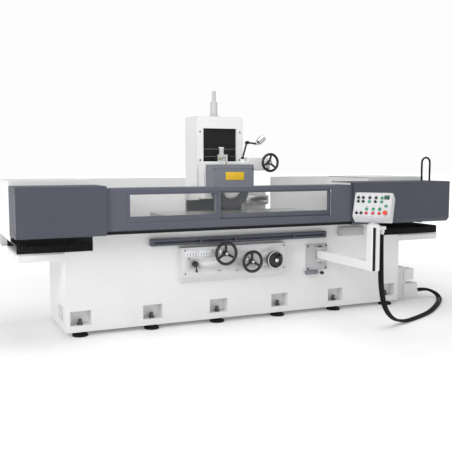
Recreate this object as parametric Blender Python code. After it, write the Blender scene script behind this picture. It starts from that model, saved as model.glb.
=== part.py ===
"""Horizontal-spindle surface grinder with a long reciprocating table.

Bed coordinates: X along the table, Y from the bed's front face to the back, Z up from the floor.
The whole machine hangs on one empty, BED_DATUM, so that its outline is centred on the origin.
"""
import math

import bmesh
import bpy
from mathutils import Matrix, Vector

# ---------------------------------------------------------------- driving dimensions (metres)
BED_DATUM = (-0.045, -0.4053, 0.0)
GAP = 0.0003

FLOOR = 0.0
FOOT_TOP = 0.028
BED_BOTTOM = 0.038
BED_TOP = 0.699
BED_HALF = 1.65
BED_DEPTH = 0.70
WING = (-2.02, 2.14)
WING_BOTTOM = 0.632
WING_DEPTH = 0.64
SHIELD = (-1.42, 1.37)
COVER_TOP = 0.772
SHIELD_TOP = 0.832
POCKET_FIRST = -1.53
POCKET_STEP = 0.611
POCKET_COUNT = 6
POCKET_HALF = 0.085

WAY_ENDS = (-1.60, 1.70)
FLAT_WAY = (0.14, 0.22, 0.735)
VEE_WAY = (0.50, 0.60, 0.745)

TABLE = (-0.76, 0.84)
TABLE_Y = (0.07, 0.73)
TABLE_TOP = 0.84
CHUCK = (-0.71, 0.79)
CHUCK_Y = (0.10, 0.70)
CHUCK_TOP = 0.945

GUARD = (-2.05, 2.05)
GUARD_FRONT = -0.254
GUARD_BACK = 0.135
GUARD_BOTTOM = 0.840
GUARD_TOP = 1.230
GUARD_INNER = (-1.365, 0.930)
SHEET = 0.006
PANEL_FRONT = -0.224
PANEL_TOP = 1.207
PANEL_BOTTOM = 0.846
PANEL_ROOF = 0.016
WINDOW = (-1.202, 0.705)
WINDOW_Z = (0.938, 1.172)
SASH_SPLIT = (-0.435, -0.385)
SASH_THICK = 0.012
SASH_FRONT = PANEL_FRONT + 0.0015
HOOD_INNER = (-1.370, 1.370)
REAR_WALL = 0.860
REAR_TOP = 1.268
REAR_GAP = (-0.295, 0.660)

HEAD_X = 0.125
COLUMN_HALF = 0.255
COLUMN_Y = (0.950, 1.270)
COLUMN_TOP = 1.873
COLUMN_WALL = 0.025
SLOT_HALF = 0.184
SLOT_Z = (1.030, 1.754)
FOOT_X = (-0.280, 0.640)
FOOT_Y = (0.930, 1.600)
REAR_BED = (-0.290, 0.655)
REAR_BED_BACK = 1.640

RAM_HALF = 0.160
RAM_Z = (1.070, 1.400)
RAM_BACK = 1.450
TAIL_Z = (1.070, 1.235)
TAIL_BACK = 1.830
HEAD_HALF = 0.250
HEAD_Y = (0.800, 0.925)
HEAD_Z = (1.050, 1.420)
CARRIAGE_Z = (1.000, 1.470)
WHEEL_RADIUS = 0.200
WHEEL_Z = 1.155
WHEEL_Y = (0.685, 0.735)
WHEEL_BORE = 0.0635

PANEL_BOX = (-0.684, 0.327)
PANEL_BOX_FRONT = -0.080
PANEL_BOX_Z = (0.385, 0.690)
TABLE_WHEEL = (-0.311, 0.637, 0.105)
LIFT_WHEEL = (-0.060, 0.552, 0.100)
CROSS_DIAL = (0.173, 0.551, 0.078)
LEVER = (-0.566, 0.550)
STUB_END = -0.130
FEED_WHEEL = (0.575, 1.410, 0.098)
LAMP_BASE = (0.335, 0.860, 1.4453)
LAMP_ELBOW = (0.382, 0.860, 1.612)
LAMP_WRIST = (0.478, 0.8397, 1.602)
LAMP_TILT = 38.0

ARM_PIVOT = (0.705, -0.050)
ARM_Z = (0.523, 0.597)
POST = (0.716, -0.841)
POST_HALF = 0.041
POST_TOP = 0.898
CONSOLE_CENTRE = (0.716, -0.841, 1.042)
CONSOLE_SIZE = (0.310, 0.110, 0.225)
CONSOLE_YAW = -48.0
CONSOLE_TILT = -28.0
CONTROL_RADIUS = 0.0115

CONDUIT_RADIUS = 0.012
POST_GLAND_END = 0.815
GLAND_Y = (0.125, 0.183)
GLAND_Z = 0.085
GLAND_END = 2.000
CONDUIT_ROUTE = [
    (0.822, -0.822, 0.8147), (0.822, -0.822, 0.775), (0.826, -0.822, 0.600), (0.842, -0.817, 0.360),
    (0.900, -0.800, 0.180), (1.020, -0.760, 0.066), (1.190, -0.705, 0.018), (1.390, -0.625, 0.013),
    (1.640, -0.495, 0.013), (1.880, -0.315, 0.013), (2.075, -0.140, 0.013), (2.200, 0.000, 0.018),
    (2.235, 0.105, 0.045), (2.180, 0.168, 0.075), (2.100, 0.183, 0.085), (2.050, 0.183, 0.085),
    (2.0005, 0.183, 0.085),
]

# controls on the console plate: name, kind, across (0 left to 1 right), down (0 top to 1 bottom)
CONTROLS = [
    ("button_black_1", "press", 0.09, 0.21), ("button_black_2", "press", 0.22, 0.21),
    ("button_black_3", "press", 0.40, 0.21), ("button_black_4", "press", 0.57, 0.21),
    ("button_green_1", "press", 0.73, 0.21), ("selector_1", "turn", 0.10, 0.37),
    ("button_black_5", "press", 0.23, 0.37), ("button_green_2", "press", 0.40, 0.37),
    ("button_black_6", "press", 0.56, 0.37), ("button_green_3", "press", 0.73, 0.37),
    ("button_green_4", "press", 0.86, 0.54), ("button_green_5", "press", 0.35, 0.67),
    ("button_green_6", "press", 0.53, 0.67), ("button_green_7", "press", 0.70, 0.67),
    ("selector_2", "turn", 0.09, 0.85), ("selector_3", "turn", 0.21, 0.85),
    ("button_red_1", "press", 0.35, 0.85), ("button_red_2", "press", 0.53, 0.85),
    ("button_red_3", "press", 0.70, 0.85), ("emergency_stop", "stop", 0.86, 0.84),
]

# ---------------------------------------------------------------- clean scene and materials
for old in list(bpy.data.objects):
    bpy.data.objects.remove(old, do_unlink=True)

DATUM = bpy.data.objects.new("bed_datum", None)
DATUM.location = BED_DATUM
bpy.context.collection.objects.link(DATUM)


def paint(name, colour, metallic=0.0, roughness=0.5):
    """One Principled material."""
    material = bpy.data.materials.new(name)
    material.use_nodes = True
    shader = material.node_tree.nodes["Principled BSDF"]
    shader.inputs["Base Color"].default_value = (*colour, 1.0)
    shader.inputs["Metallic"].default_value = metallic
    shader.inputs["Roughness"].default_value = roughness
    material.diffuse_color = (*colour, 1.0)
    return material


WHITE = ("white_paint", (0.84, 0.84, 0.82), 0.0, 0.45)
SLATE = ("slate_paint", (0.11, 0.12, 0.16), 0.0, 0.5)
GREY = ("grey_paint", (0.30, 0.31, 0.35), 0.0, 0.5)
STEEL = ("bright_steel", (0.70, 0.70, 0.70), 1.0, 0.28)
IRON = ("ground_iron", (0.55, 0.55, 0.54), 1.0, 0.35)
BLACK = ("black_plastic", (0.02, 0.02, 0.02), 0.0, 0.4)
RUBBER = ("black_rubber", (0.015, 0.015, 0.018), 0.0, 0.7)
ABRASIVE = ("abrasive", (0.10, 0.10, 0.11), 0.0, 0.95)
GREEN = ("green_plastic", (0.02, 0.35, 0.16), 0.0, 0.35)
RED = ("red_plastic", (0.65, 0.02, 0.03), 0.0, 0.35)


# ---------------------------------------------------------------- modelling helpers
def add_object(name, mesh, location, finish, matrix=None):
    """Put a mesh in the scene under the datum, with a material of its own."""
    item = bpy.data.objects.new(name, mesh)
    item.parent = DATUM
    item.location = location
    if matrix is not None:
        item.matrix_local = matrix
    if finish:
        mesh.materials.append(paint(name + "_" + finish[0], *finish[1:]))
    bpy.context.collection.objects.link(item)
    return item


def finish_mesh(name, form, smooth_angle=None):
    """Close a bmesh into a mesh with outward faces."""
    bmesh.ops.recalc_face_normals(form, faces=form.faces)
    mesh = bpy.data.meshes.new(name)
    form.to_mesh(mesh)
    form.free()
    if smooth_angle:
        mesh.shade_smooth()
        mesh.set_sharp_from_angle(angle=math.radians(smooth_angle))
    return mesh


def add_box(form, x, y, z):
    """Add one box, given by its limits, to a bmesh."""
    centre = Vector(((x[0] + x[1]) / 2, (y[0] + y[1]) / 2, (z[0] + z[1]) / 2))
    size = (x[1] - x[0], y[1] - y[0], z[1] - z[0])
    matrix = Matrix.Translation(centre) @ Matrix.Diagonal((*size, 1.0))
    bmesh.ops.create_cube(form, size=1.0, matrix=matrix)


def blocks(name, boxes, finish=None, pivot=(0, 0, 0)):
    """Boxes of one mesh, each given by its X, Y and Z limits; pivot is the object's origin."""
    form = bmesh.new()
    for x, y, z in boxes:
        add_box(form, x, y, z)
    bmesh.ops.translate(form, verts=form.verts, vec=-Vector(pivot))
    return add_object(name, finish_mesh(name, form), pivot, finish)


def outline(name, points, span, finish=None, axis="X", pivot=(0, 0, 0)):
    """A closed outline pushed from span[0] to span[1] along an axis."""
    place = {"X": lambda s, p: (s, p[0], p[1]), "Y": lambda s, p: (p[0], s, p[1]),
             "Z": lambda s, p: (p[0], p[1], s)}[axis]
    form = bmesh.new()
    rings = [[form.verts.new(place(s, p)) for p in points] for s in span]
    count = len(points)
    for i in range(count):
        j = (i + 1) % count
        form.faces.new((rings[0][i], rings[0][j], rings[1][j], rings[1][i]))
    form.faces.new(rings[0])
    form.faces.new(rings[1])
    bmesh.ops.translate(form, verts=form.verts, vec=-Vector(pivot))
    return add_object(name, finish_mesh(name, form), pivot, finish)


DIRECTIONS = {
    "X": Matrix.Rotation(math.radians(90), 4, "Y"),
    "Y": Matrix.Rotation(math.radians(-90), 4, "X"),
    "Z": Matrix.Identity(4),
}


def add_turned(form, profile, centre, axis, sides):
    """Turn (radius, distance) points about an axis; ends of radius 0 close the body."""
    place = Matrix.Translation(centre) @ DIRECTIONS[axis]
    rings = []
    for radius, along in profile:
        if radius == 0:
            rings.append([form.verts.new(place @ Vector((0, 0, along)))])
            continue
        ring = []
        for k in range(sides):
            turn = 2 * math.pi * k / sides
            spot = Vector((radius * math.cos(turn), radius * math.sin(turn), along))
            ring.append(form.verts.new(place @ spot))
        rings.append(ring)
    hollow = len(rings[0]) > 1
    pairs = list(zip(rings, rings[1:] + rings[:1])) if hollow else list(zip(rings, rings[1:]))
    for first, second in pairs:
        for k in range(sides):
            n = (k + 1) % sides
            if len(first) == 1:
                form.faces.new((first[0], second[k], second[n]))
            elif len(second) == 1:
                form.faces.new((first[k], second[0], first[n]))
            else:
                form.faces.new((first[k], second[k], second[n], first[n]))


def turned(name, profile, centre, axis, finish=None, sides=32):
    """A turned body whose origin is on its axis."""
    form = bmesh.new()
    add_turned(form, profile, (0, 0, 0), axis, sides)
    return add_object(name, finish_mesh(name, form, 35), centre, finish)


def rod_profile(radius, start, end):
    """A plain cylinder as a turned profile."""
    return [(0, start), (radius, start), (radius, end), (0, end)]


def rod(name, radius, start, end, finish=None, sides=16):
    """A straight round bar between two points."""
    start, end = Vector(start), Vector(end)
    run = end - start
    form = bmesh.new()
    add_turned(form, rod_profile(radius, 0, run.length), (0, 0, 0), "Z", sides)
    matrix = run.to_track_quat("Z", "Y").to_matrix().to_4x4()
    bmesh.ops.transform(form, matrix=matrix, verts=form.verts)
    return add_object(name, finish_mesh(name, form, 35), start, finish)


def combine(target, operation, tools):
    """Boolean modifiers on target; the tools stay as hidden guides."""
    for tool in tools:
        modifier = target.modifiers.new(tool.name, "BOOLEAN")
        modifier.operation = operation
        modifier.object = tool
        tool.hide_render = True
        tool.display_type = "WIRE"


def fuse(target, *tools):
    """Join tools to target."""
    combine(target, "UNION", tools)


def cut(target, *tools):
    """Take tools away from target."""
    combine(target, "DIFFERENCE", tools)


def soften(target, width, segments=1):
    """Bevel the edges of a plain block."""
    modifier = target.modifiers.new("edge", "BEVEL")
    modifier.width = width
    modifier.segments = segments
    modifier.limit_method = "ANGLE"


def tube(name, route, radius, finish, points, resolution=2):
    """A cord along a smooth curve through route, as a bevelled poly curve."""
    path = smooth_route(route, points)
    curve = bpy.data.curves.new(name, "CURVE")
    curve.dimensions = "3D"
    curve.bevel_depth = radius
    curve.bevel_resolution = resolution
    curve.use_fill_caps = True
    spline = curve.splines.new("POLY")
    spline.points.add(len(path) - 1)
    for point, place in zip(spline.points, path):
        point.co = (*place, 1.0)
    return add_object(name, curve, (0, 0, 0), finish)


def smooth_route(route, count):
    """Evenly spaced points of a Catmull-Rom curve through the route."""
    knots = [Vector(p) for p in route]
    knots = [2 * knots[0] - knots[1]] + knots + [2 * knots[-1] - knots[-2]]
    fine = []
    for a, b, c, d in zip(knots, knots[1:], knots[2:], knots[3:]):
        for k in range(40):
            t = k / 40
            fine.append(0.5 * ((2 * b) + (c - a) * t + (2 * a - 5 * b + 4 * c - d) * t * t
                               + (3 * b - a - 3 * c + d) * t ** 3))
    fine.append(knots[-2])
    run = [0.0]
    for a, b in zip(fine, fine[1:]):
        run.append(run[-1] + (b - a).length)
    path = []
    k = 0
    for i in range(count):
        goal = run[-1] * i / (count - 1)
        while k < len(run) - 2 and run[k + 1] < goal:
            k += 1
        part = (goal - run[k]) / (run[k + 1] - run[k])
        path.append(fine[k].lerp(fine[k + 1], min(max(part, 0.0), 1.0)))
    return path


# ---------------------------------------------------------------- bed
def pocket_centres():
    return [POCKET_FIRST + POCKET_STEP * k for k in range(POCKET_COUNT)]


def make_bed():
    """Hollow cast bed with end wings, column foundation, ways, levelling pockets and feet."""
    bed = blocks("bed_casting", [((-BED_HALF, BED_HALF), (0, BED_DEPTH), (BED_BOTTOM, BED_TOP))], WHITE)
    wings = blocks("bed_wings", [(WING, (0, WING_DEPTH), (WING_BOTTOM, BED_TOP))])
    soften(wings, 0.012)
    rear = blocks("bed_rear", [(REAR_BED, (BED_DEPTH - 0.05, REAR_BED_BACK), (BED_BOTTOM, BED_TOP))])
    shield = blocks("bed_shield", [(SHIELD, (0, 0.012), (BED_TOP - 0.02, SHIELD_TOP))])
    flat = blocks("bed_flat_way", [(WAY_ENDS, FLAT_WAY[:2], (BED_TOP - 0.02, FLAT_WAY[2]))])
    low, high, top = VEE_WAY
    vee = outline("bed_vee_way", [(low, BED_TOP - 0.02), (high, BED_TOP - 0.02), (high, BED_TOP),
                                  ((low + high) / 2, top), (low, BED_TOP)], WAY_ENDS)
    fuse(bed, wings, rear, shield, flat, vee)
    core = blocks("bed_core", [
        ((-1.50, 1.50), (0.13, 0.57), (0.0, 0.56)),
        ((REAR_BED[0] + 0.06, REAR_BED[1] - 0.06), (0.76, 1.56), (0.0, 0.56)),
    ])
    low_z, high_z = 0.092, 0.212
    niches = [((x - POCKET_HALF, x + POCKET_HALF), (-0.05, 0.085), (low_z, high_z)) for x in pocket_centres()]
    niches += [((x - POCKET_HALF, x + POCKET_HALF), (0.615, 0.75), (low_z, high_z))
               for x in pocket_centres() if not REAR_BED[0] - 0.1 < x < REAR_BED[1] + 0.1]
    niches += [((-1.75, -1.57), (0.12, 0.34), (low_z + 0.02, high_z + 0.02)),
               ((REAR_BED[0] + 0.10, REAR_BED[1] - 0.10), (1.57, 1.75), (low_z, high_z))]
    cut(bed, core, blocks("bed_niches", niches))
    form = bmesh.new()
    for x, y in foot_places():
        add_turned(form, [(0, FLOOR), (0.062, FLOOR), (0.062, FOOT_TOP - 0.012), (0.030, FOOT_TOP),
                          (0.014, FOOT_TOP), (0.014, 0.135), (0, 0.135)], (x, y, 0), "Z", 14)
    fuse(bed, add_object("bed_feet", finish_mesh("bed_feet", form), (0, 0, 0), None))


def foot_places():
    """Levelling feet under the pockets of the long bed and at the foundation's back."""
    front = [(x, 0.042) for x in pocket_centres()]
    back = [(x, 0.658) for x in pocket_centres() if not REAR_BED[0] - 0.1 < x < REAR_BED[1] + 0.1]
    rear = [(REAR_BED[0] + 0.16, 1.600), (REAR_BED[1] - 0.16, 1.600)]
    return front + back + rear


# ---------------------------------------------------------------- table, chuck and way bellows
def make_table():
    """Table with grooves that ride on the flat and the vee way."""
    bottom = BED_TOP + 0.0035
    clear = 0.0004
    flat_low, flat_high, flat_top = FLAT_WAY
    low, high, top = VEE_WAY
    points = [(TABLE_Y[0], bottom), (flat_low - 0.002, bottom), (flat_low - 0.002, flat_top + clear),
              (flat_high + 0.002, flat_top + clear), (flat_high + 0.002, bottom), (low - 0.001, bottom),
              ((low + high) / 2, top + 0.0025), (high + 0.001, bottom), (TABLE_Y[1], bottom),
              (TABLE_Y[1], TABLE_TOP), (TABLE_Y[0], TABLE_TOP)]
    outline("table", points, TABLE, IRON)
    chuck = blocks("magnetic_chuck", [(CHUCK, CHUCK_Y, (TABLE_TOP + GAP, CHUCK_TOP))], IRON)
    soften(chuck, 0.003)


def bellows(name, start, end):
    """Pleated cover, an upturned trough over the ways between the table and the wing's end."""
    pitch = 0.032
    count = max(4, round((end - start) / pitch)) * 2
    front, back, wall = 0.0135, 0.632, 0.022
    inner = COVER_TOP - 0.014
    form = bmesh.new()
    rings = []
    for k in range(count + 1):
        x = start + (end - start) * k / count
        dip = 0.0 if k % 2 == 0 else 0.007
        points = [(front + dip, BED_TOP + GAP), (front + dip, COVER_TOP - dip), (back - dip, COVER_TOP - dip),
                  (back - dip, BED_TOP + GAP), (back - wall, BED_TOP + GAP), (back - wall, inner),
                  (front + wall, inner), (front + wall, BED_TOP + GAP)]
        rings.append([form.verts.new((x, y, z)) for y, z in points])
    for first, second in zip(rings, rings[1:]):
        for i in range(8):
            j = (i + 1) % 8
            form.faces.new((first[i], first[j], second[j], second[i]))
    form.faces.new(rings[0])
    form.faces.new(rings[-1])
    return add_object(name, finish_mesh(name, form), (0, 0, 0), RUBBER)


# ---------------------------------------------------------------- guards
def front_guard(name, limits, outer):
    """Deep sheet canopy in front of a table end, open below and behind."""
    t = SHEET
    x0, x1 = limits
    points = [(GUARD_FRONT, GUARD_BOTTOM + 0.034), (GUARD_FRONT, GUARD_TOP), (GUARD_BACK, GUARD_TOP),
              (GUARD_BACK, GUARD_TOP - t), (GUARD_FRONT + t, GUARD_TOP - t),
              (GUARD_FRONT + t, GUARD_BOTTOM + 0.036), (GUARD_FRONT + 0.032, GUARD_BOTTOM + t),
              (GUARD_FRONT + 0.060, GUARD_BOTTOM + t), (GUARD_FRONT + 0.060, GUARD_BOTTOM),
              (GUARD_FRONT + 0.030, GUARD_BOTTOM)]
    shell = outline(name, points, limits, SLATE)
    side = [(GUARD_FRONT, GUARD_BOTTOM + 0.034), (GUARD_FRONT, GUARD_TOP), (GUARD_BACK, GUARD_TOP),
            (GUARD_BACK, GUARD_BOTTOM), (GUARD_FRONT + 0.030, GUARD_BOTTOM)]
    end_span = (x0, x0 + t) if outer == "left" else (x1 - t, x1)
    step_span = (x1 - t, x1) if outer == "left" else (x0, x0 + t)
    end_plate = outline(name + "_end", side, end_span)
    step = [(y if y < 0 else GUARD_FRONT + 0.060, z) for y, z in side]
    step_plate = outline(name + "_step", step, step_span)
    fuse(shell, end_plate, step_plate)


def make_mid_panel():
    """Recessed window panel between the two canopies, with the sash tracks behind it."""
    t = SHEET
    f = PANEL_FRONT
    points = [(f, PANEL_BOTTOM + 0.030), (f, PANEL_TOP), (PANEL_ROOF, PANEL_TOP), (PANEL_ROOF, PANEL_TOP - t),
              (f + t, PANEL_TOP - t), (f + t, PANEL_BOTTOM + 0.032), (f + 0.032, PANEL_BOTTOM + t),
              (f + 0.060, PANEL_BOTTOM + t), (f + 0.060, PANEL_BOTTOM), (f + 0.030, PANEL_BOTTOM)]
    span = (GUARD_INNER[0] + GAP, GUARD_INNER[1] - GAP)
    panel = outline("guard_mid_panel", points, span, SLATE)
    depth = (f + t - 0.001, f + t + 2 * SASH_THICK + 0.006)
    tracks = blocks("guard_tracks", [
        ((WINDOW[0] - 0.02, WINDOW[1] + 0.02), depth, (WINDOW_Z[0] - 0.014, WINDOW_Z[0])),
        ((WINDOW[0] - 0.02, WINDOW[1] + 0.02), depth, (WINDOW_Z[1], WINDOW_Z[1] + 0.014)),
    ])
    fuse(panel, tracks)
    cut(panel, blocks("guard_window", [(WINDOW, (f - 0.01, f + t + 0.0005), WINDOW_Z)]))


def make_sash(name, limits, front):
    """Sliding sash: a frame and its thin pane in one piece, handle bar at the meeting stile."""
    z = (WINDOW_Z[0] + 0.0005, WINDOW_Z[1] - 0.0005)
    sash = blocks(name, [(limits, (front, front + SASH_THICK), z)], SLATE)
    inner = (limits[0] + 0.030, limits[1] - 0.030)
    light = (z[0] + 0.045, z[1] - 0.014)
    recess = blocks(name + "_recess", [
        (inner, (front - 0.002, front + 0.004), light),
        (inner, (front + SASH_THICK - 0.004, front + SASH_THICK + 0.002), light),
    ])
    cut(sash, recess)


def rear_enclosure(name, wall, hood, outer):
    """White splash wall behind the table with the hood that closes one end."""
    t = SHEET
    ledge = BED_TOP - 0.006
    back = REAR_WALL
    points = [(BED_DEPTH + GAP, ledge - t), (back + t, ledge - t), (back + t, REAR_TOP - 0.004),
              (back, REAR_TOP - 0.004), (back, ledge), (BED_DEPTH + GAP, ledge)]
    shell = outline(name, points, wall, WHITE)
    front = GUARD_BACK + GAP
    side_x = (outer, outer + t) if outer < 0 else (outer - t, outer)
    plates = [
        blocks(name + "_roof", [(hood, (front, back + t), (REAR_TOP - t, REAR_TOP))]),
        blocks(name + "_side", [(side_x, (front, back + t), (0.79, REAR_TOP))]),
        blocks(name + "_lip", [(hood, (front, front + t), (GUARD_TOP - 0.06, REAR_TOP))]),
    ]
    fuse(shell, *plates)


# ---------------------------------------------------------------- column and vertical slide
def make_column():
    """Hollow portal column with a slot that the ram passes through, on a wide foot."""
    left, right = HEAD_X - COLUMN_HALF, HEAD_X + COLUMN_HALF
    bottom = BED_TOP + GAP
    column = blocks("column", [((left, right), COLUMN_Y, (bottom, COLUMN_TOP))], WHITE)
    foot = blocks("column_foot", [(FOOT_X, FOOT_Y, (bottom, 0.980))])
    cheeks = blocks("column_cheeks", [((FOOT_X[0], left + 0.05), FOOT_Y, (0.95, 1.115)),
                                      ((right - 0.05, FOOT_X[1]), FOOT_Y, (0.95, 1.115))])
    fuse(column, foot, cheeks)
    inside = (COLUMN_Y[0] + COLUMN_WALL, COLUMN_Y[1] - COLUMN_WALL)
    hollow = blocks("column_hollow", [((HEAD_X - 0.225, HEAD_X + 0.225), inside, (0.760, 1.862))])
    slot = blocks("column_slot", [((HEAD_X - SLOT_HALF, HEAD_X + SLOT_HALF),
                                   (COLUMN_Y[0] - 0.05, COLUMN_Y[1] + 0.05), SLOT_Z)])
    cut(column, hollow, slot)
    turned("screw_cover", [(0, COLUMN_TOP + GAP), (0.066, COLUMN_TOP + GAP), (0.066, 1.885), (0.037, 1.885),
                           (0.037, 2.030), (0.030, 2.036), (0.021, 2.036), (0.021, 2.140), (0.016, 2.146),
                           (0, 2.146)], (HEAD_X, 1.110, 0), "Z", GREY, 24)


def cover_plate(name, y, z, holes=()):
    """Flat way cover in front of the column, with openings where the head passes."""
    plate = blocks(name, [((HEAD_X - 0.200, HEAD_X + 0.200), y, z)], BLACK)
    if holes:
        cut(plate, blocks(name + "_hole", holes))


def make_carriage():
    """Vertical slide around the ram, its sheet cover and the telescopic plate above it."""
    half = 0.2235
    front = COLUMN_Y[0] + COLUMN_WALL
    ring = blocks("carriage", [((HEAD_X - half, HEAD_X + half), (front + 0.011, 1.235), CARRIAGE_Z)], IRON)
    clear = 0.0006
    bore_x = (HEAD_X - RAM_HALF - clear, HEAD_X + RAM_HALF + clear)
    bore_z = (RAM_Z[0] - clear, RAM_Z[1] + clear)
    cut(ring, blocks("carriage_bore", [(bore_x, (0.9, 1.3), bore_z)]))
    wide = ((bore_x[0] - 0.001, bore_x[1] + 0.001), (0.9, 1.1), (bore_z[0] - 0.001, bore_z[1] + 0.001))
    cover_plate("carriage_cover", (front + 0.0065, front + 0.0105), (0.775, 1.620), [wide])
    cover_plate("column_cover_upper", (front + 0.0008, front + 0.0048), (1.600, 1.762))


# ---------------------------------------------------------------- wheelhead
def make_wheelhead():
    """Head block and ram in one casting, with the spindle bore and the lamp boss."""
    head_x = (HEAD_X - HEAD_HALF, HEAD_X + HEAD_HALF)
    head = blocks("wheelhead", [(head_x, HEAD_Y, HEAD_Z)], WHITE)
    soften(head, 0.006)
    across = (HEAD_X - RAM_HALF, HEAD_X + RAM_HALF)
    ram = blocks("head_ram", [(across, (HEAD_Y[1] - 0.03, RAM_BACK), RAM_Z)])
    tail = blocks("head_tail", [(across, (RAM_BACK - 0.02, TAIL_BACK), TAIL_Z)])
    boss = turned("head_boss", rod_profile(0.024, HEAD_Z[1] - 0.01, 1.445), (*LAMP_BASE[:2], 0), "Z", sides=16)
    fuse(head, ram, tail, boss)
    cut(head, turned("head_bore", rod_profile(0.046, 0.70, 0.905), (HEAD_X, 0, WHEEL_Z), "Y"))


def make_wheel_guard():
    """Sheet guard over the upper half of the wheel."""
    half, t = 0.220, 0.008
    y = (0.622, HEAD_Y[0] - GAP)
    top = 1.392
    points = [(HEAD_X - half, 1.150), (HEAD_X - half, top - 0.006), (HEAD_X - half + 0.006, top),
              (HEAD_X + half - 0.006, top), (HEAD_X + half, top - 0.006), (HEAD_X + half, 1.150)]
    guard = outline("wheel_guard", points, y, GREY, "Y")
    inner = [(HEAD_X - half + t, 1.10), (HEAD_X - half + t, top - t), (HEAD_X + half - t, top - t),
             (HEAD_X + half - t, 1.10)]
    cut(guard, outline("wheel_guard_inside", inner, (y[0] + t, y[1] - t), axis="Y"),
        turned("wheel_guard_bore", rod_profile(0.052, 0.78, 0.82), (HEAD_X, 0, WHEEL_Z), "Y"))


def make_spindle():
    """Spindle nose with both wheel flanges, and the grinding wheel between them."""
    front, back = WHEEL_Y
    hub = WHEEL_BORE - 0.0005
    profile = [(0, front - 0.040), (0.030, front - 0.040), (0.030, front - 0.020), (0.085, front - 0.020),
               (0.100, front - 0.014), (0.100, front - GAP), (hub, front - GAP), (hub, back + GAP),
               (0.090, back + GAP), (0.090, back + 0.012), (0.045, back + 0.016), (0.045, 0.900), (0, 0.900)]
    turned("spindle", profile, (HEAD_X, 0, WHEEL_Z), "Y", STEEL, 32)
    turned("grinding_wheel", [(WHEEL_BORE, front), (WHEEL_RADIUS - 0.003, front), (WHEEL_RADIUS, front + 0.003),
                              (WHEEL_RADIUS, back - 0.003), (WHEEL_RADIUS - 0.003, back), (WHEEL_BORE, back)],
           (HEAD_X, 0, WHEEL_Z), "Y", ABRASIVE, 48)


def make_coolant_valve():
    """Valve block with its upright solenoid and the nozzle that reaches over the guard."""
    base = HEAD_Z[1] + GAP
    valve = blocks("coolant_valve", [((0.045, 0.155), (0.830, 0.900), (base, 1.490))], GREY)
    coil = turned("valve_coil", rod_profile(0.026, 1.48, 1.560), (0.100, 0.865, 0), "Z", sides=20)
    pipe = rod("valve_pipe", 0.011, (0.080, 0.860, 1.452), (0.080, 0.690, 1.452), sides=14)
    drop = rod("valve_drop", 0.011, (0.080, 0.694, 1.460), (0.080, 0.694, 1.410), sides=14)
    fuse(valve, coil, pipe, drop)


def make_feed_gearbox():
    """Gearbox of the manual cross feed, with the stub for its handwheel."""
    x, z, _ = FEED_WHEEL
    box = blocks("feed_gearbox", [((HEAD_X + HEAD_HALF + GAP, 0.630), (0.810, 0.900), (1.330, 1.465))], WHITE)
    soften(box, 0.008)
    fuse(box, turned("gearbox_hub", rod_profile(0.030, 0.790, 0.820), (x, 0, z), "Y", sides=20),
         turned("gearbox_stub", rod_profile(0.013, 0.750, 0.800), (x, 0, z), "Y", sides=16))


def handwheel(name, centre, radius, back, finish, spokes=3, tilt=90.0):
    """Spoked handwheel with a crank handle; back is where its hub meets the stub."""
    x, z = centre
    rim = bmesh.new()
    tube_radius = 0.011
    ring = [(radius - tube_radius + tube_radius * math.cos(a), tube_radius * math.sin(a))
            for a in (2 * math.pi * k / 8 for k in range(8))]
    add_turned(rim, ring, (0, back - 0.040, 0), "Y", 32)
    wheel = turned(name, [(0, back - 0.056), (0.016, back - 0.056), (0.024, back - 0.048), (0.024, back - GAP),
                          (0, back - GAP)], (x, 0, z), "Y", finish, 20)
    parts = [add_object(name + "_rim", finish_mesh(name + "_rim", rim, 50), (x, 0, z), None)]
    for k in range(spokes):
        turn = math.radians(tilt + 360 * k / spokes)
        reach = Vector((math.cos(turn), 0, math.sin(turn)))
        start = Vector((x, back - 0.028, z)) + reach * 0.015
        end = Vector((x, back - 0.040, z)) + reach * (radius - tube_radius)
        parts.append(rod(f"{name}_spoke_{k}", 0.0075, start, end, sides=8))
    turn = math.radians(tilt + 25)
    crank = Vector((x, back - 0.042, z)) + Vector((math.cos(turn), 0, math.sin(turn))) * (radius - tube_radius)
    profile = [(0, -0.060), (0.007, -0.060), (0.0095, -0.052), (0.0075, -0.008), (0.0075, 0.004), (0, 0.004)]
    parts.append(turned(name + "_crank", profile, crank, "Y", sides=10))
    fuse(wheel, *parts)


# ---------------------------------------------------------------- work lamp


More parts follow.
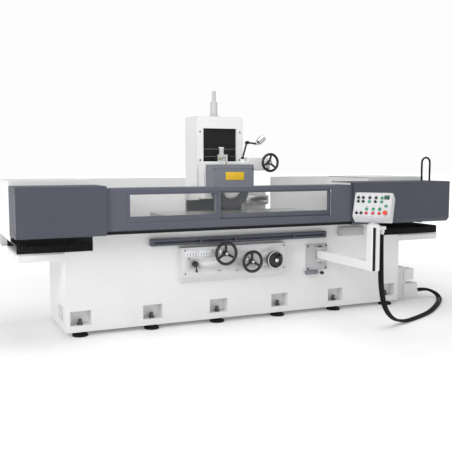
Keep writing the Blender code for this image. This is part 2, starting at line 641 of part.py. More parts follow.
def make_lamp():
    """Two-arm lamp: a swivel foot, an elbow and a wrist, and a turned head."""
    bx, by, bz = LAMP_BASE
    ex, ey, ez = LAMP_ELBOW
    wx, wy, wz = LAMP_WRIST
    lower = turned("lamp_lower_arm", rod_profile(0.018, 0, 0.020), LAMP_BASE, "Z", BLACK, 16)
    fuse(lower, rod("lamp_lower_bar", 0.009, (bx, by, bz + 0.010), LAMP_ELBOW, sides=12),
         turned("lamp_elbow_eye", rod_profile(0.017, -0.010, 0.010), LAMP_ELBOW, "Y", sides=16))
    upper = turned("lamp_upper_arm", rod_profile(0.017, -0.0303, -0.0103), LAMP_ELBOW, "Y", BLACK, 16)
    fuse(upper, rod("lamp_upper_bar", 0.009, (ex, wy, ez), LAMP_WRIST, sides=12),
         turned("lamp_wrist_eye", rod_profile(0.016, -0.010, 0.010), LAMP_WRIST, "Y", sides=16))
    head = turned("lamp_head", rod_profile(0.016, -0.0305, -0.0103), LAMP_WRIST, "Y", STEEL, 16)
    place = Matrix.Translation((wx, wy - 0.0203, wz)) @ Matrix.Rotation(-math.radians(LAMP_TILT), 4, "Y")
    form = bmesh.new()
    add_turned(form, [(0, 0.046), (0.029, 0.046), (0.029, 0.022), (0.034, 0.022), (0.034, 0.088), (0.028, 0.100),
                      (0, 0.100)], (0, 0, 0), "X", 24)
    barrel = add_object("lamp_barrel", finish_mesh("lamp_barrel", form, 35), (0, 0, 0), None, place)
    form = bmesh.new()
    add_turned(form, rod_profile(0.009, 0, 0.052), (0, 0, 0), "X", 12)
    neck = add_object("lamp_neck", finish_mesh("lamp_neck", form), (0, 0, 0), None, place)
    fuse(head, neck, barrel)


# ---------------------------------------------------------------- front controls
def make_panel_box():
    """Box of the manual controls, with the stubs of its three wheels."""
    low, high = PANEL_BOX_Z
    f = PANEL_BOX_FRONT
    section = [(-0.0005, high), (f, high), (f, low + 0.055), (-0.025, low), (-0.0005, low)]
    box = outline("control_panel_box", section, PANEL_BOX, WHITE)
    stubs = []
    for name, (x, z, _) in (("stub_table", TABLE_WHEEL), ("stub_lift", LIFT_WHEEL), ("stub_cross", CROSS_DIAL)):
        profile = [(0, STUB_END), (0.020, STUB_END), (0.020, f - 0.012), (0.034, f - 0.012), (0.034, f + 0.01),
                   (0, f + 0.01)]
        stubs.append(turned(name, profile, (x, 0, z), "Y", sides=20))
    fuse(box, *stubs)


def make_cross_dial():
    """Small graduated wheel of the cross feed."""
    x, z, radius = CROSS_DIAL
    back = STUB_END - GAP
    profile = [(0, back - 0.050), (0.018, back - 0.050), (0.022, back - 0.030), (0.055, back - 0.024),
               (radius - 0.010, back - 0.034), (radius, back - 0.030), (radius, back - 0.002),
               (radius - 0.006, back), (0, back)]
    dial = turned("dial_cross", profile, (x, 0, z), "Y", STEEL, 32)
    knob = turned("dial_knob", [(0, -0.040), (0.009, -0.036), (0.007, -0.004), (0.007, 0.004), (0, 0.004)],
                  (x + 0.040, back - 0.028, z + 0.040), "Y", sides=12)
    fuse(dial, knob)


def make_panel_lever():
    """Ball lever that starts and reverses the table."""
    x, z = LEVER
    back = PANEL_BOX_FRONT - GAP
    hub = turned("panel_lever", [(0, back - 0.030), (0.018, back - 0.030), (0.024, back - 0.022), (0.024, back),
                                 (0, back)], (x, 0, z), "Y", BLACK, 20)
    end = Vector((x, back - 0.040, z - 0.058))
    bar = rod("lever_bar", 0.006, (x, back - 0.018, z), end, sides=10)
    ball_profile = [(0, -0.012)] + [(0.012 * math.cos(a), 0.012 * math.sin(a))
                                    for a in (math.radians(d) for d in (-60, -30, 0, 30, 60))] + [(0, 0.012)]
    fuse(hub, bar, turned("lever_ball", ball_profile, end, "Y", sides=12))


def make_dog_rail():
    """Slotted rail for the table's trip dogs, with its brackets."""
    rail = blocks("trip_dog_rail", [((-0.945, 0.770), (-0.058, -0.0005), (0.714, 0.773))], SLATE)
    soften(rail, 0.006)
    cut(rail, blocks("rail_groove", [((-0.915, 0.740), (-0.08, -0.032), (0.734, 0.752))]))


# ---------------------------------------------------------------- pendant
def make_arm():
    """Bracket on the bed, and the swing arm with its post."""
    px, py = ARM_PIVOT
    low, high = ARM_Z
    bracket = blocks("arm_bracket", [((0.575, 0.800), (-0.018, -0.0005), (0.409, 0.650))], WHITE)
    lug_x, lug_y = (px - 0.040, px + 0.040), (py - 0.038, -0.010)
    lugs = blocks("bracket_lugs", [(lug_x, lug_y, (low - 0.030, low - 0.0005)),
                                   (lug_x, lug_y, (high + 0.0005, high + 0.030))])
    pin = turned("bracket_pin", rod_profile(0.012, low - 0.020, high + 0.020), (px, py, 0), "Z", sides=16)
    fuse(bracket, lugs, pin)
    arm = blocks("pendant_arm", [((0.675, 0.735), (-0.830, py), ARM_Z)], WHITE, (px, py, low))
    eye = turned("arm_eye", rod_profile(0.030, low, high), (px, py, 0), "Z", sides=24)
    x, y = POST
    sides = (x - POST_HALF, x + POST_HALF), (y - POST_HALF, y + POST_HALF)
    post = blocks("arm_post", [(*sides, (0.517, POST_TOP))])
    soften(post, 0.006)
    top = turned("post_top", rod_profile(0.046, POST_TOP - 0.005, 0.906), (x, y, 0), "Z", sides=24)
    shelf = blocks("gland_shelf", [((x + 0.030, 0.844), (-0.846, -0.772), (0.856, 0.882))])
    soften(shelf, 0.004)
    nut = [(0, POST_GLAND_END), (0.0125, POST_GLAND_END), (0.0125, 0.826), (0.017, 0.831), (0.017, 0.860),
           (0, 0.860)]
    glands = [turned(f"post_gland_{k}", nut, (*conduit_route(k)[0][:2], 0), "Z", sides=14) for k in range(2)]
    fuse(arm, eye, post, top, shelf, *glands)
    cut(arm, turned("arm_bore", rod_profile(0.0126, low - 0.01, high + 0.01), (px, py, 0), "Z", sides=16))


def console_matrix(local=(0, 0, 0)):
    """Place of a point of the tilted console, in bed coordinates."""
    yaw = Matrix.Rotation(math.radians(CONSOLE_YAW), 4, "Z")
    tilt = Matrix.Rotation(math.radians(CONSOLE_TILT), 4, "X")
    return Matrix.Translation(CONSOLE_CENTRE) @ yaw @ tilt @ Matrix.Translation(local)


def control_place(across, down):
    """Centre of a control on the console's front plate."""
    width, depth, height = CONSOLE_SIZE
    return ((across - 0.5) * width * 0.97, -depth / 2, (0.5 - down) * height * 0.97)


def make_console():
    """Tilted control box on its swivel neck, bored for every control."""
    width, depth, height = CONSOLE_SIZE
    form = bmesh.new()
    add_box(form, (-width / 2, width / 2), (-depth / 2, depth / 2), (-height / 2, height / 2))
    box = add_object("pendant_box", finish_mesh("pendant_box", form), (0, 0, 0), WHITE, console_matrix())
    soften(box, 0.005)
    x, y = POST
    neck = turned("console_neck", [(0, 0.9063), (0.040, 0.9063), (0.040, 0.914), (0.026, 0.918), (0.026, 1.000),
                                   (0, 1.000)], (x, y, 0), "Z", sides=20)
    fuse(box, neck)
    bores = bmesh.new()
    for name, kind, across, down in CONTROLS:
        px, py, pz = control_place(across, down)
        add_turned(bores, rod_profile(CONTROL_RADIUS + 0.0006, -0.01, 0.016), (px, py, pz), "Y", 14)
    cutter = finish_mesh("console_bores", bores)
    cut(box, add_object("console_bores", cutter, (0, 0, 0), None, console_matrix()))


def make_control(name, kind, across, down):
    """One push button, selector or the mushroom stop, its axis along its own Y."""
    radius = CONTROL_RADIUS
    profiles = {
        "press": [(0, -0.009), (radius - 0.002, -0.009), (radius, -0.007), (radius, 0.008), (0, 0.008)],
        "turn": [(0, -0.007), (radius - 0.001, -0.007), (radius, -0.006), (radius, 0.008), (0, 0.008)],
        "stop": [(0, -0.026), (0.013, -0.025), (0.0185, -0.020), (0.0185, -0.014), (0.010, -0.010),
                 (0.010, 0.008), (0, 0.008)],
    }
    finish = GREEN if "green" in name else RED if "red" in name or kind == "stop" else BLACK
    form = bmesh.new()
    add_turned(form, profiles[kind], (0, 0, 0), "Y", 14)
    place = console_matrix(control_place(across, down))
    control = add_object(name, finish_mesh(name, form, 35), (0, 0, 0), finish, place)
    if kind == "turn":
        bar = bmesh.new()
        add_box(bar, (-0.003, 0.003), (-0.017, -0.004), (-0.0095, 0.0095))
        fuse(control, add_object(name + "_bar", finish_mesh(name + "_bar", bar), (0, 0, 0), None, place))


# ---------------------------------------------------------------- electrics and hoses
def make_electric_box():
    """Terminal boxes at the bed's right end, with the conduit glands."""
    box = blocks("electric_box", [((BED_HALF + 0.0005, 1.830), (0.100, 0.500), (0.030, 0.345))], WHITE)
    extras = blocks("electric_upper", [((1.800, 1.920), (0.090, 0.200), (0.213, 0.326)),
                                       ((1.800, 1.970), (0.089, 0.221), (0.050, 0.175))])
    glands = []
    for k, y in enumerate(GLAND_Y):
        profile = [(0, 1.96), (0.017, 1.96), (0.017, 1.985), (0.0125, 1.990), (0.0125, GLAND_END),
                   (0, GLAND_END)]
        glands.append(turned(f"gland_{k}", profile, (0, y, GLAND_Z), "X", sides=14))
    fuse(box, extras, *glands)


def conduit_route(k):
    """Route of a conduit from the console to its gland; the second runs on the first one's left."""
    if k == 0:
        return CONDUIT_ROUTE
    places = [Vector(p) for p in CONDUIT_ROUTE]
    last = len(places) - 1
    route = []
    for i, place in enumerate(places):
        j = min(max(i, 4), last - 1)
        ahead = places[j + 1] - places[j - 1]
        left = Vector((-ahead.y, ahead.x, 0)).normalized()
        spread = {last: 0.058, last - 1: 0.058, last - 2: 0.055, last - 3: 0.040}.get(i, 0.028)
        if i >= last - 2:
            left = Vector((0, -1, 0))
        route.append(place + left * spread)
    return route


def make_hoses():
    """The two console conduits, and the hose loop on the right canopy."""
    for k in range(2):
        tube(f"conduit_{k + 1}", conduit_route(k), CONDUIT_RADIUS, RUBBER, 64)
    base = GUARD_TOP + GAP
    left, right, top = 1.915, 2.015, 1.460
    mid, half = (left + right) / 2, (right - left) / 2
    arc = [(mid - half * math.cos(a), 0, top - half + half * math.sin(a))
           for a in (math.pi * k / 8 for k in range(9))]
    route = [(left, 0, base), (left, 0, base + 0.08)] + arc + [(right, 0, base + 0.08), (right, 0, base)]
    tube("hose_loop", route, 0.0095, RUBBER, 30)


# ---------------------------------------------------------------- build
make_bed()
make_table()
bellows("bellows_left", WING[0] + 0.005, TABLE[0] - GAP)
bellows("bellows_right", TABLE[1] + GAP, WING[1] - 0.005)
front_guard("guard_left_box", (GUARD[0], GUARD_INNER[0]), "left")
front_guard("guard_right_box", (GUARD_INNER[1], GUARD[1]), "right")
make_mid_panel()
make_sash("sash_left", (WINDOW[0] + 0.001, SASH_SPLIT[1]), SASH_FRONT)
make_sash("sash_right", (SASH_SPLIT[0], WINDOW[1] - 0.001), SASH_FRONT + SASH_THICK + 0.001)
rear_enclosure("rear_enclosure_left", (GUARD[0], REAR_GAP[0]), (GUARD[0], HOOD_INNER[0]), GUARD[0])
rear_enclosure("rear_enclosure_right", (REAR_GAP[1], GUARD[1]), (HOOD_INNER[1], GUARD[1]), GUARD[1])
make_column()
make_carriage()
make_wheelhead()
make_wheel_guard()
make_spindle()
make_coolant_valve()
make_feed_gearbox()
handwheel("head_handwheel", FEED_WHEEL[:2], FEED_WHEEL[2], 0.750, BLACK)
make_lamp()
make_panel_box()
handwheel("handwheel_table", TABLE_WHEEL[:2], TABLE_WHEEL[2], STUB_END, BLACK, tilt=60.0)
handwheel("handwheel_lift", LIFT_WHEEL[:2], LIFT_WHEEL[2], STUB_END, BLACK, tilt=75.0)
make_cross_dial()
make_panel_lever()
make_dog_rail()
make_arm()
make_console()
for control in CONTROLS:
    make_control(*control)
make_electric_box()
make_hoses()
bpy.context.view_layer.update()
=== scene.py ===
import math

import bmesh
import bpy
from mathutils import Matrix, Vector


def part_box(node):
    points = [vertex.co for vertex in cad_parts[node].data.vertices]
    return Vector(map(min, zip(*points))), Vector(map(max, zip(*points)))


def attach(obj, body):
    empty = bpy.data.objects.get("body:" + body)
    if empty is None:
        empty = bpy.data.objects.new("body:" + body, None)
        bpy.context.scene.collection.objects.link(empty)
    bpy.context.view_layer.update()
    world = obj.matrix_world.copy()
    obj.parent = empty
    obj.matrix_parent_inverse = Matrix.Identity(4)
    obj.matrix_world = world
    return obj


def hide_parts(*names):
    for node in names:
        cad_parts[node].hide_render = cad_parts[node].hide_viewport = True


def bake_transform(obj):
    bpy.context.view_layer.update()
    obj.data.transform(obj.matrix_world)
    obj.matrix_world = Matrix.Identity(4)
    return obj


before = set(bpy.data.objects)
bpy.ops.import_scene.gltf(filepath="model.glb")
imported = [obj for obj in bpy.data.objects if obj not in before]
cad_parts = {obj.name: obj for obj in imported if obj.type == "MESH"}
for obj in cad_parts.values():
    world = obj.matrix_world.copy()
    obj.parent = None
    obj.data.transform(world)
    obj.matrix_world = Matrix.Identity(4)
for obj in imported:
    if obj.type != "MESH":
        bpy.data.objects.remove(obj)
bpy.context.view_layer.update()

# Bed coordinates: X along the table, Y back from the bed's front face, Z up from the floor.
# The panel box's stubs end 0.13 m in front of the bed, and the left wing 2.02 m from the datum.
DATUM = Vector((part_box("bed_casting")[0][0] + 2.02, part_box("control_panel_box")[0][1] + 0.130, 0.0))


def bed(x, y, z):
    """A point of the bed's own coordinates in the frame."""
    return DATUM + Vector((x, y, z))


FORWARD = (0, -1, 0)
UP = (0, 0, 1)

# X and Z of the controls on the bed's front, and of the wheelhead's handwheel
TABLE_WHEEL = (-0.311, 0.637)
LIFT_WHEEL = (-0.060, 0.552)
CROSS_DIAL = (0.173, 0.551)
LEVER = (-0.566, 0.550)
FEED_WHEEL = (0.575, 1.410)


# ---------------------------------------------------------------- camera
camera = bpy.data.objects.new("camera", bpy.data.cameras.new("camera"))
camera.data.lens = 54.23
camera.data.sensor_width = 36.0
camera.data.clip_end = 200.0
camera.location = bed(-2.693, -5.434, 1.417)
camera.rotation_euler = (math.radians(84.62), 0.0, math.radians(-24.308))
bpy.context.collection.objects.link(camera)
bpy.context.scene.camera = camera
bpy.context.scene.view_settings.view_transform = "Standard"


# ---------------------------------------------------------------- materials
def shade(colour, factor):
    """A colour made darker or lighter."""
    return tuple(min(1.0, c * factor) for c in colour)


def surface(name, colour, rough=0.45, metal=0.0, vary=0.05, smudge=3.0, grain=90.0, bump=0.12, pores=500.0,
            stretch=(1.0, 1.0, 1.0), edge_wear_and_highlight=0.0, edge_wear_and_highlight_colour=(0.5, 0.5, 0.5), rounded=0.0015, coat=0.0, spread=0.05):
    """Principled material: cloudy and fine colour variation, uneven gloss, grain, rounded edges lightened
    partly as wear and partly as painted highlight.
    """
    material = bpy.data.materials.new(name)
    material.use_nodes = True
    nodes, links = material.node_tree.nodes, material.node_tree.links
    shader = nodes["Principled BSDF"]
    shader.inputs["Metallic"].default_value = metal
    shader.inputs["Coat Weight"].default_value = coat
    shader.inputs["Coat Roughness"].default_value = 0.12
    place = nodes.new("ShaderNodeTexCoord")
    scaled = nodes.new("ShaderNodeMapping")
    scaled.inputs["Scale"].default_value = stretch
    links.new(place.outputs["Object"], scaled.inputs["Vector"])
    cloud = nodes.new("ShaderNodeTexNoise")
    cloud.inputs["Scale"].default_value = smudge
    cloud.inputs["Detail"].default_value = 5.0
    fine = nodes.new("ShaderNodeTexNoise")
    fine.inputs["Scale"].default_value = grain
    fine.inputs["Detail"].default_value = 4.0
    both = nodes.new("ShaderNodeMath")
    both.operation = "ADD"
    links.new(scaled.outputs["Vector"], cloud.inputs["Vector"])
    links.new(scaled.outputs["Vector"], fine.inputs["Vector"])
    links.new(cloud.outputs["Fac"], both.inputs[0])
    links.new(fine.outputs["Fac"], both.inputs[1])
    ramp = nodes.new("ShaderNodeMapRange")
    ramp.inputs["From Min"].default_value = 0.7
    ramp.inputs["From Max"].default_value = 1.3
    links.new(both.outputs[0], ramp.inputs["Value"])
    tint = nodes.new("ShaderNodeMix")
    tint.data_type = "RGBA"
    tint.inputs["A"].default_value = (*shade(colour, 1 - vary), 1.0)
    tint.inputs["B"].default_value = (*shade(colour, 1 + vary), 1.0)
    links.new(ramp.outputs["Result"], tint.inputs["Factor"])
    finish = tint.outputs["Result"]
    soft = nodes.new("ShaderNodeBevel")
    soft.samples = 4
    soft.inputs["Radius"].default_value = rounded
    # lighter edges: partly wear, partly a painted highlight where the rounded edges catch the light
    if edge_wear_and_highlight > 0:
        true = nodes.new("ShaderNodeNewGeometry")
        dot = nodes.new("ShaderNodeVectorMath")
        dot.operation = "DOT_PRODUCT"
        links.new(soft.outputs["Normal"], dot.inputs[0])
        links.new(true.outputs["Normal"], dot.inputs[1])
        edge = nodes.new("ShaderNodeMapRange")
        edge.inputs["From Min"].default_value = 0.985
        edge.inputs["From Max"].default_value = 0.85
        edge.inputs["To Max"].default_value = edge_wear_and_highlight
        links.new(dot.outputs["Value"], edge.inputs["Value"])
        edge_wear_and_highlight_mix = nodes.new("ShaderNodeMix")
        edge_wear_and_highlight_mix.data_type = "RGBA"
        edge_wear_and_highlight_mix.inputs["B"].default_value = (*edge_wear_and_highlight_colour, 1.0)
        links.new(edge.outputs["Result"], edge_wear_and_highlight_mix.inputs["Factor"])
        links.new(finish, edge_wear_and_highlight_mix.inputs["A"])
        finish = edge_wear_and_highlight_mix.outputs["Result"]
    links.new(finish, shader.inputs["Base Color"])
    gloss = nodes.new("ShaderNodeMapRange")
    gloss.inputs["From Min"].default_value = 0.3
    gloss.inputs["From Max"].default_value = 0.7
    gloss.inputs["To Min"].default_value = max(0.02, rough - spread)
    gloss.inputs["To Max"].default_value = min(1.0, rough + spread)
    links.new(cloud.outputs["Fac"], gloss.inputs["Value"])
    links.new(gloss.outputs["Result"], shader.inputs["Roughness"])
    pore = nodes.new("ShaderNodeTexNoise")
    pore.inputs["Scale"].default_value = pores
    pore.inputs["Detail"].default_value = 3.0
    links.new(scaled.outputs["Vector"], pore.inputs["Vector"])
    relief = nodes.new("ShaderNodeBump")
    relief.inputs["Strength"].default_value = bump
    relief.inputs["Distance"].default_value = 0.0006
    links.new(pore.outputs["Fac"], relief.inputs["Height"])
    links.new(soft.outputs["Normal"], relief.inputs["Normal"])
    links.new(relief.outputs["Normal"], shader.inputs["Normal"])
    return material


WHITE = surface("white_enamel", (0.80, 0.80, 0.795), 0.36, vary=0.03, bump=0.10, pores=350.0, edge_wear_and_highlight=0.25,
                edge_wear_and_highlight_colour=(0.90, 0.90, 0.90), coat=0.15)
CAST = surface("white_cast", (0.80, 0.80, 0.795), 0.42, vary=0.035, bump=0.16, pores=160.0, rounded=0.004,
               edge_wear_and_highlight=0.25, edge_wear_and_highlight_colour=(0.90, 0.90, 0.90))
SLATE = surface("slate_texture", (0.078, 0.084, 0.112), 0.48, vary=0.10, bump=0.35, pores=700.0, edge_wear_and_highlight=0.35,
                edge_wear_and_highlight_colour=(0.20, 0.21, 0.26), rounded=0.0025)
DEEP_SLATE = surface("deep_slate_texture", (0.052, 0.057, 0.080), 0.48, vary=0.10, bump=0.35, pores=700.0,
                     edge_wear_and_highlight=0.35, edge_wear_and_highlight_colour=(0.20, 0.21, 0.26), rounded=0.0025)
GREY = surface("grey_enamel", (0.19, 0.20, 0.235), 0.42, vary=0.06, bump=0.2, pores=450.0, edge_wear_and_highlight=0.3,
               edge_wear_and_highlight_colour=(0.38, 0.39, 0.43))
BLACK = surface("black_enamel", (0.012, 0.012, 0.013), 0.42, vary=0.2, bump=0.2, edge_wear_and_highlight=0.3,
                edge_wear_and_highlight_colour=(0.06, 0.06, 0.06))
PHENOLIC = surface("black_phenolic", (0.006, 0.006, 0.007), 0.28, vary=0.25, bump=0.05, coat=0.1)
RUBBER = surface("black_rubber", (0.006, 0.006, 0.007), 0.55, vary=0.2, bump=0.3, pores=900.0)
FABRIC = surface("bellows_fabric", (0.012, 0.012, 0.014), 0.55, vary=0.3, bump=0.7, pores=1400.0, grain=400.0)
PANEL = surface("panel_enamel", (0.66, 0.66, 0.665), 0.38, vary=0.03, bump=0.10, pores=350.0, edge_wear_and_highlight=0.3,
                edge_wear_and_highlight_colour=(0.85, 0.85, 0.85), coat=0.15)
CONSOLE_PAINT = surface("console_enamel", (0.58, 0.585, 0.60), 0.40, vary=0.03, bump=0.15, pores=500.0,
                        edge_wear_and_highlight=0.4, edge_wear_and_highlight_colour=(0.80, 0.80, 0.80))
PALE = surface("pale_grey_enamel", (0.50, 0.50, 0.51), 0.40, vary=0.05, bump=0.15, edge_wear_and_highlight=0.3,
               edge_wear_and_highlight_colour=(0.7, 0.7, 0.7))
GROUND = surface("ground_iron", (0.50, 0.50, 0.49), 0.30, metal=0.9, vary=0.12, grain=400.0, bump=0.25,
                 pores=500.0, stretch=(0.05, 1.0, 1.0), edge_wear_and_highlight=0.4, edge_wear_and_highlight_colour=(0.8, 0.8, 0.8))
STEEL = surface("bright_steel", (0.66, 0.66, 0.66), 0.20, metal=1.0, vary=0.06, bump=0.08, pores=900.0)
ZINC = surface("blued_screw", (0.10, 0.10, 0.105), 0.35, metal=0.85, vary=0.15, bump=0.1, rounded=0.0006)
# grinding wheel: its near-black colour is painted shade of the wheel lying in its guard's shadow; the speckle
# and bump are the abrasive's grain
GRIT_WITH_PAINTED_SHADE = surface("abrasive_grit_with_painted_shade", (0.035, 0.035, 0.038), 0.9, vary=0.5, grain=900.0, bump=1.0, pores=1200.0)
BRASS = surface("brass", (0.70, 0.48, 0.16), 0.28, metal=1.0, vary=0.1, bump=0.1)
YELLOW = surface("yellow_plate", (0.80, 0.55, 0.02), 0.38, vary=0.04, bump=0.05)
GREEN = surface("green_cap", (0.01, 0.28, 0.13), 0.28, vary=0.08, bump=0.05, coat=0.4)
RED = surface("red_cap", (0.60, 0.012, 0.015), 0.28, vary=0.08, bump=0.05, coat=0.4)
ORANGE = surface("stop_cap", (0.78, 0.06, 0.01), 0.30, vary=0.08, bump=0.05, coat=0.3)
INK = surface("legend_ink", (0.03, 0.03, 0.035), 0.5, vary=0.1, bump=0.05)
SCREEN = surface("display_glass", (0.008, 0.009, 0.011), 0.10, vary=0.3, bump=0.0, coat=0.6)
LIT = surface("lamp_lens", (0.75, 0.76, 0.78), 0.15, vary=0.03, bump=0.1, pores=300.0)


def chuck_material():
    """Ground chuck face with brass-coloured pole lines across the table."""
    material = surface("chuck_face", (0.47, 0.47, 0.465), 0.27, metal=0.9, vary=0.10, grain=350.0, bump=0.22,
                       stretch=(0.05, 1.0, 1.0), edge_wear_and_highlight=0.4, edge_wear_and_highlight_colour=(0.8, 0.8, 0.8))
    nodes, links = material.node_tree.nodes, material.node_tree.links
    shader = nodes["Principled BSDF"]
    place = nodes.new("ShaderNodeTexCoord")
    split = nodes.new("ShaderNodeSeparateXYZ")
    links.new(place.outputs["Object"], split.inputs["Vector"])
    repeat = nodes.new("ShaderNodeMath")
    repeat.operation = "PINGPONG"
    repeat.inputs[1].default_value = 0.0125
    links.new(split.outputs["X"], repeat.inputs[0])
    line = nodes.new("ShaderNodeMath")
    line.operation = "LESS_THAN"
    line.inputs[1].default_value = 0.0012
    links.new(repeat.outputs[0], line.inputs[0])
    on_top = nodes.new("ShaderNodeMath")
    on_top.operation = "GREATER_THAN"
    on_top.inputs[1].default_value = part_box("magnetic_chuck")[1][2] - 0.001
    links.new(split.outputs["Z"], on_top.inputs[0])
    both = nodes.new("ShaderNodeMath")
    both.operation = "MULTIPLY"
    links.new(line.outputs[0], both.inputs[0])
    links.new(on_top.outputs[0], both.inputs[1])
    before = shader.inputs["Base Color"].links[0].from_socket
    mix = nodes.new("ShaderNodeMix")
    mix.data_type = "RGBA"
    mix.inputs["B"].default_value = (0.45, 0.33, 0.14, 1.0)
    links.new(both.outputs[0], mix.inputs["Factor"])
    links.new(before, mix.inputs["A"])
    links.new(mix.outputs["Result"], shader.inputs["Base Color"])
    return material


def pane_material():
    """Clear polycarbonate: mostly see-through, with a faint cloudy haze."""
    material = surface("clear_pane", (0.86, 0.90, 0.92), 0.06, vary=0.03, bump=0.02, pores=60.0,
                       rounded=0.0005)
    nodes, links = material.node_tree.nodes, material.node_tree.links
    shader = nodes["Principled BSDF"]
    haze = nodes.new("ShaderNodeTexNoise")
    haze.inputs["Scale"].default_value = 2.0
    level = nodes.new("ShaderNodeMapRange")
    level.inputs["To Min"].default_value = 0.015
    level.inputs["To Max"].default_value = 0.045
    links.new(haze.outputs["Fac"], level.inputs["Value"])
    links.new(level.outputs["Result"], shader.inputs["Alpha"])
    return material


# matt blacks that reflect little of the white surroundings
for paint in (BLACK, RUBBER, FABRIC):
    paint.node_tree.nodes["Principled BSDF"].inputs["Specular IOR Level"].default_value = 0.18

CHUCK = chuck_material()
PANE = pane_material()

FINISHES = {
    CAST: ["bed_casting", "column", "wheelhead"],
    WHITE: ["rear_enclosure_left", "rear_enclosure_right", "electric_box", "pendant_arm", "feed_gearbox"],
    PANEL: ["control_panel_box"],
    CONSOLE_PAINT: ["pendant_box"],
    PALE: ["screw_cover", "arm_bracket"],
    SLATE: ["trip_dog_rail", "guard_mid_panel", "sash_left", "sash_right"],
    DEEP_SLATE: ["guard_left_box", "guard_right_box"],
    GREY: ["wheel_guard"],
    BLACK: ["column_cover_upper", "carriage_cover", "lamp_lower_arm", "lamp_upper_arm"],
    RUBBER: ["hose_loop", "conduit_1", "conduit_2"],
    FABRIC: ["bellows_left", "bellows_right"],
    GROUND: ["table", "carriage"],
    CHUCK: ["magnetic_chuck"],
    STEEL: ["spindle", "lamp_head", "coolant_valve"],
    PHENOLIC: ["head_handwheel", "handwheel_table", "handwheel_lift", "panel_lever", "dial_cross"],
    GRIT_WITH_PAINTED_SHADE: ["grinding_wheel"],
    ORANGE: ["emergency_stop"],
}
for node_name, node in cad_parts.items():
    chosen = next((m for m, names in FINISHES.items() if node_name in names), None)
    if chosen is None:
        chosen = GREEN if "green" in node_name else RED if "red" in node_name else PHENOLIC
    if not node.material_slots:
        node.data.materials.append(chosen)
    for slot in node.material_slots:
        slot.material = chosen


# ---------------------------------------------------------------- mesh helpers
def piece(name, form, body, material, sharp=35.0):
    """The finished mesh as an object that rides on a body."""
    bmesh.ops.recalc_face_normals(form, faces=form.faces)
    mesh = bpy.data.meshes.new(name)
    form.to_mesh(mesh)
    form.free()
    mesh.materials.append(material)
    mesh.shade_smooth()
    mesh.set_sharp_from_angle(angle=math.radians(sharp))
    item = bpy.data.objects.new(name, mesh)
    bpy.context.collection.objects.link(item)
    if body:
        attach(item, body)
    return item


def add_box(form, x, y, z, round_by=0.0012, place=None):
    """Box between the given limits with rounded edges."""
    part = bmesh.new()
    bmesh.ops.create_cube(part, size=1.0)
    size = Vector((x[1] - x[0], y[1] - y[0], z[1] - z[0]))
    middle = Vector(((x[0] + x[1]) / 2, (y[0] + y[1]) / 2, (z[0] + z[1]) / 2))
    for v in part.verts:
        v.co = Vector((v.co.x * size.x, v.co.y * size.y, v.co.z * size.z)) + middle
    if round_by > 0:
        bmesh.ops.bevel(part, geom=list(part.edges), offset=min(round_by, min(size) * 0.3), segments=2,
                        affect="EDGES", profile=0.5)
    merge(form, part, place if place else Matrix.Translation(DATUM))


def merge(form, part, place):
    """Add one shape, moved to its place, to the mesh being built."""
    part.transform(place)
    mesh = bpy.data.meshes.new("part")
    part.to_mesh(mesh)
    part.free()
    form.from_mesh(mesh)
    bpy.data.meshes.remove(mesh)


def add_turned(form, profile, centre, axis=UP, sides=32, place=None, hoop=False):
    """Turned body of (radius, along) pairs, along the axis from the centre; a hoop has an open middle."""
    part = bmesh.new()
    rings = []
    for radius, along in profile:
        if radius < 1e-6:
            rings.append([part.verts.new((0, 0, along))])
        else:
            rings.append([part.verts.new((radius * math.cos(2 * math.pi * k / sides),
                                          radius * math.sin(2 * math.pi * k / sides), along))
                          for k in range(sides)])
    if hoop:
        rings.append(rings[0])
    for a, b in zip(rings, rings[1:]):
        for k in range(sides):
            j = (k + 1) % sides
            if len(a) == 1 and len(b) == 1:
                continue
            if len(a) == 1:
                part.faces.new((a[0], b[k], b[j]))
            elif len(b) == 1:
                part.faces.new((a[k], a[j], b[0]))
            else:
                part.faces.new((a[k], a[j], b[j], b[k]))
    for ring in (rings[0], rings[-1]):
        if len(ring) > 1 and not hoop:
            part.faces.new(ring)
    turn = Vector(UP).rotation_difference(Vector(axis)).to_matrix().to_4x4()
    base = place if place else Matrix.Translation(DATUM)
    merge(form, part, base @ Matrix.Translation(centre) @ turn)


def add_sweep(form, path, radius, sides=16, closed=False, place=None, end_radius=None):
    """Round bar along a path; the radius may taper to end_radius."""
    part = bmesh.new()
    path = [Vector(p) for p in path]
    count = len(path)
    rings = []
    across = None
    for i, point in enumerate(path):
        before = path[i - 1] if closed or i > 0 else path[0]
        after = path[(i + 1) % count] if closed or i < count - 1 else path[-1]
        along = (after - before).normalized()
        if across is None:
            across = along.orthogonal().normalized()
        across = (across - along * across.dot(along)).normalized()
        other = along.cross(across)
        r = radius if end_radius is None else radius + (end_radius - radius) * i / (count - 1)
        rings.append([part.verts.new(point + (across * math.cos(a) + other * math.sin(a)) * r)
                      for a in (2 * math.pi * k / sides for k in range(sides))])
    pairs = list(zip(rings, rings[1:]))
    if closed:
        pairs.append((rings[-1], rings[0]))
    for a, b in pairs:
        for k in range(sides):
            j = (k + 1) % sides
            part.faces.new((a[k], a[j], b[j], b[k]))
    if not closed:
        part.faces.new(rings[0])
        part.faces.new(rings[-1])
    merge(form, part, place if place else Matrix.Translation(DATUM))


